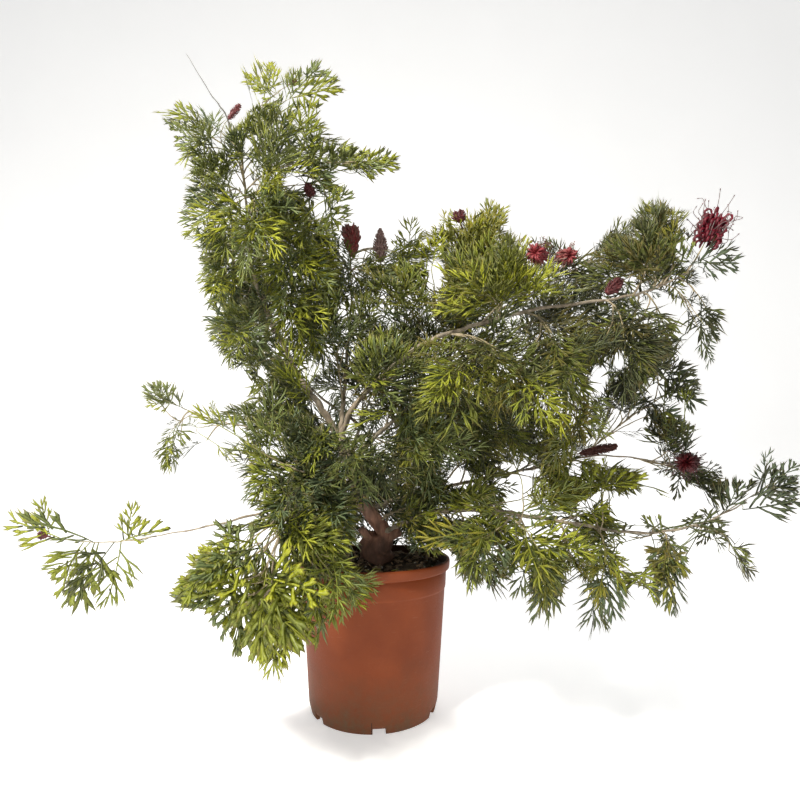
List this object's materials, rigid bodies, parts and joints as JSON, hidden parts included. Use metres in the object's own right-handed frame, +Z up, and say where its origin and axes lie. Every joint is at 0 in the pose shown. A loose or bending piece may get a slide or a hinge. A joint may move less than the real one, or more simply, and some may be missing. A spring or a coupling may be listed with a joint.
{
  "type": "potted grevillea",
  "caption": "Young evergreen shrub with deeply cut leaves and red spider flowers, standing in soil in a round tapered plastic nursery pot.",
  "frame": {"origin": "centre of the pot's foot, on the surface that it stands on", "axes": "+Z up along the pot's axis; +X towards the wide, arching side of the crown; -Y towards the viewer of the picture"},
  "size_m": [0.9876, 0.5689, 0.8825],
  "materials": {
    "pot": "moulded, satin, terracotta-coloured",
    "soil": "dark crumbly potting mix",
    "bark": "matt grey-brown bark",
    "leaf": "satin leaf with pale tips",
    "flower": "soft petal"
  },
  "bodies": {
    "root": {"bud_inner": "flower", "bud_low_right": "flower", "bud_on_rise": "flower", "bud_top_left": "flower", "cone_brown": "flower", "cone_grey": "flower", "flower_middle_left": "flower", "flower_middle_right": "flower", "flower_on_long_branch": "flower", "flower_right_high": "flower", "flower_right_low": "flower", "pot": "pot", "soil": "soil", "spray_back_high": "leaf", "spray_back_left_tip": "leaf", "spray_back_low": "leaf", "spray_back_right_tip": "leaf", "spray_back_tip": "leaf", "spray_centre_middle": "leaf", "spray_centre_top": "leaf", "spray_droop_left": "leaf", "spray_droop_near": "leaf", "spray_droop_right": "leaf", "spray_droop_tip": "leaf", "spray_far_left_tip": "leaf", "spray_front_high": "leaf", "spray_inner_high": "leaf", "spray_inner_middle": "leaf", "spray_left_back_tip": "leaf", "spray_left_high": "leaf", "spray_left_low": "leaf", "spray_left_middle": "leaf", "spray_long_front": "leaf", "spray_long_hanging": "leaf", "spray_long_high": "leaf", "spray_long_low_far": "leaf", "spray_long_low_near": "leaf", "spray_long_rising": "leaf", "spray_long_tip": "leaf", "spray_low_back_bud": "leaf", "spray_low_back_high": "leaf", "spray_low_back_near": "leaf", "spray_low_back_rear": "leaf", "spray_low_back_tip": "leaf", "spray_low_front_broad": "leaf", "spray_low_front_middle": "leaf", "spray_low_front_near": "leaf", "spray_low_front_tip": "leaf", "spray_rise_back": "leaf", "spray_rise_far": "leaf", "spray_rise_high": "leaf", "spray_rise_near": "leaf", "spray_rise_tip": "leaf", "spray_stem_front": "leaf", "spray_stem_left": "leaf", "spray_top": "leaf", "spray_top_left": "leaf", "stem_and_branches": "bark"}
  },
  "joints": []
}
